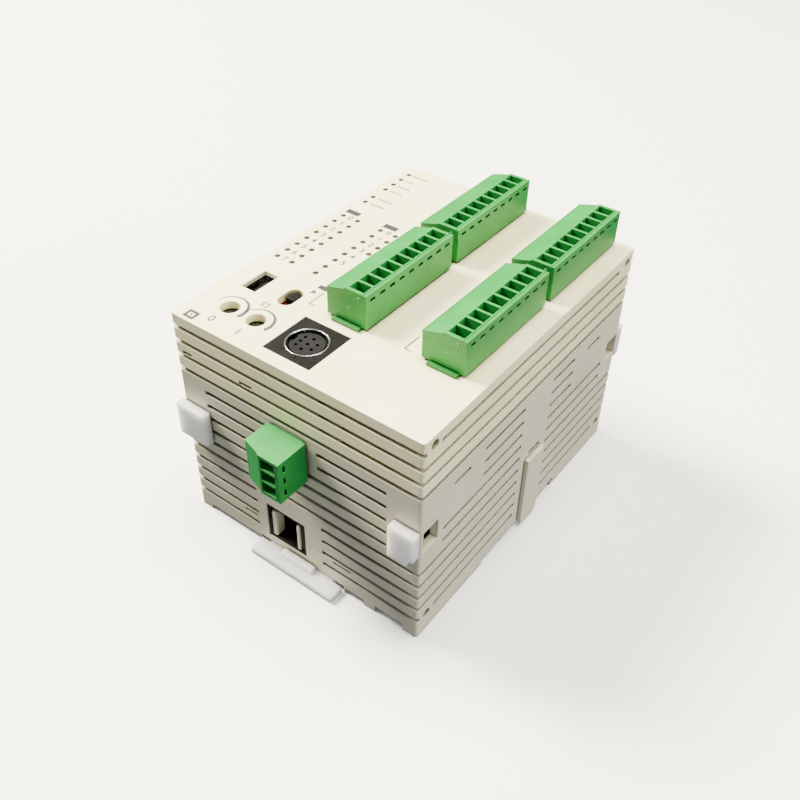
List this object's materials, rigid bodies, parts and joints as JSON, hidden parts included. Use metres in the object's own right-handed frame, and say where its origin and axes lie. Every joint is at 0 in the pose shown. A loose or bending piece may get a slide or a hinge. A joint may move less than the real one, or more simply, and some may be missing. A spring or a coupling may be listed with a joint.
{
  "type": "plc module",
  "caption": "Rail-mounted programmable controller module with pull-out terminal plugs, status lights, mode switch, trimmers and data sockets.",
  "frame": {"origin": "centre of the rear plane, on the line of the mounting rail", "axes": "+X to the module's right side, +Y to its top, +Z out of the front panel"},
  "size_m": [0.0726, 0.102, 0.0709],
  "materials": {
    "panel_plastic": "fine moulded grain, ivory",
    "case_plastic": "fine moulded grain, warm grey",
    "terminal_green": "satin moulded nylon, green",
    "header_green": "satin moulded nylon, darker green",
    "clip_white": "slightly translucent acetal, white",
    "black_plastic": "matte black nylon",
    "socket_grey": "dark grey nylon",
    "red_plastic": "dark red nylon",
    "dial_plastic": "pale nylon",
    "trimmer_blue": "blue moulded plastic",
    "light_pipe_plastic": "smoked clear plastic, unlit",
    "ink": "printed grey ink",
    "plated_steel": "zinc plated",
    "nickel_shell": "bright nickel plate",
    "tinned_brass": "tin plated",
    "board_green": "solder mask over glass fibre",
    "spacer_nylon": "natural nylon",
    "relay_black": "moulded case",
    "capacitor_sleeve": "heat shrunk sleeve",
    "transformer_tape": "polyester tape over ferrite"
  },
  "bodies": {
    "case": {"front_cover": "panel_plastic", "main_housing": "case_plastic", "rear_base": "case_plastic", "header_1": "header_green", "header_2": "header_green", "header_3": "header_green", "header_4": "header_green", "serial_header": "header_green", "header_pins": "tinned_brass", "serial_header_pins": "tinned_brass", "round_socket_body": "black_plastic", "round_socket_shield": "nickel_shell", "round_socket_insert": "socket_grey", "usb_shell": "nickel_shell", "usb_tongue": "black_plastic", "mode_switch_body": "red_plastic", "trimmer_body_0": "trimmer_blue", "trimmer_body_1": "trimmer_blue", "status_lights": "light_pipe_plastic", "input_lights": "light_pipe_plastic", "output_lights": "light_pipe_plastic", "panel_markings": "ink", "power_socket": "black_plastic", "power_pins": "tinned_brass", "earth_spring": "plated_steel", "port_cover_right": "case_plastic", "port_cover_left": "case_plastic", "port_connector_right": "black_plastic", "port_connector_left": "black_plastic", "front_board": "board_green", "processor_board": "board_green", "power_board": "board_green", "board_spacers": "spacer_nylon", "relays": "relay_black", "capacitors": "capacitor_sleeve", "transformer": "transformer_tape"},
    "terminal_plug_1": {"plug_1": "terminal_green", "plug_screws_1": "plated_steel", "wire_clamps_1": "plated_steel"},
    "terminal_plug_2": {"plug_2": "terminal_green", "plug_screws_2": "plated_steel", "wire_clamps_2": "plated_steel"},
    "terminal_plug_3": {"plug_3": "terminal_green", "plug_screws_3": "plated_steel", "wire_clamps_3": "plated_steel"},
    "terminal_plug_4": {"plug_4": "terminal_green", "plug_screws_4": "plated_steel", "wire_clamps_4": "plated_steel"},
    "serial_port_plug": {"serial_plug": "terminal_green", "serial_plug_screws": "plated_steel", "serial_wire_clamps": "plated_steel"},
    "rail_clip_body": {"rail_clip": "clip_white"},
    "clip_bottom_left": {"module_clip_bottom_left": "clip_white"},
    "clip_bottom_right": {"module_clip_bottom_right": "clip_white"},
    "clip_top_left": {"module_clip_top_left": "clip_white"},
    "clip_top_right": {"module_clip_top_right": "clip_white"},
    "mode_slider": {"mode_switch_slider": "black_plastic"},
    "dial_0": {"trimmer_dial_0": "dial_plastic"},
    "dial_1": {"trimmer_dial_1": "dial_plastic"}
  },
  "joints": [
    {"name": "terminal_plug_1_pull", "type": "slide", "parent": "case", "child": "terminal_plug_1", "axis": [0, 0, 1], "range_m": [0, 0.014]},
    {"name": "terminal_plug_2_pull", "type": "slide", "parent": "case", "child": "terminal_plug_2", "axis": [0, 0, 1], "range_m": [0, 0.014]},
    {"name": "terminal_plug_3_pull", "type": "slide", "parent": "case", "child": "terminal_plug_3", "axis": [0, 0, 1], "range_m": [0, 0.014]},
    {"name": "terminal_plug_4_pull", "type": "slide", "parent": "case", "child": "terminal_plug_4", "axis": [0, 0, 1], "range_m": [0, 0.014]},
    {"name": "serial_plug_pull", "type": "slide", "parent": "case", "child": "serial_port_plug", "axis": [0, -1, 0], "range_m": [0, 0.014]},
    {"name": "rail_clip_release", "type": "slide", "parent": "case", "child": "rail_clip_body", "axis": [0, -1, 0], "range_m": [0, 0.005]},
    {"name": "clip_bottom_left_release", "type": "slide", "parent": "case", "child": "clip_bottom_left", "axis": [0, -1, 0], "range_m": [0, 0.0025]},
    {"name": "clip_bottom_right_release", "type": "slide", "parent": "case", "child": "clip_bottom_right", "axis": [0, -1, 0], "range_m": [0, 0.0025]},
    {"name": "clip_top_left_release", "type": "slide", "parent": "case", "child": "clip_top_left", "axis": [0, 1, 0], "range_m": [0, 0.0025]},
    {"name": "clip_top_right_release", "type": "slide", "parent": "case", "child": "clip_top_right", "axis": [0, 1, 0], "range_m": [0, 0.0025]},
    {"name": "mode_switch", "type": "slide", "parent": "case", "child": "mode_slider", "axis": [0, -1, 0], "range_m": [0, 0.0024]},
    {"name": "dial_0_turn", "type": "hinge", "parent": "case", "child": "dial_0", "pos_m": [-0.02575, -0.0355, 0.0575], "axis": [0, 0, 1], "range_deg": [-120, 120]},
    {"name": "dial_1_turn", "type": "hinge", "parent": "case", "child": "dial_1", "pos_m": [-0.01775, -0.0355, 0.0575], "axis": [0, 0, 1], "range_deg": [-120, 120]}
  ]
}
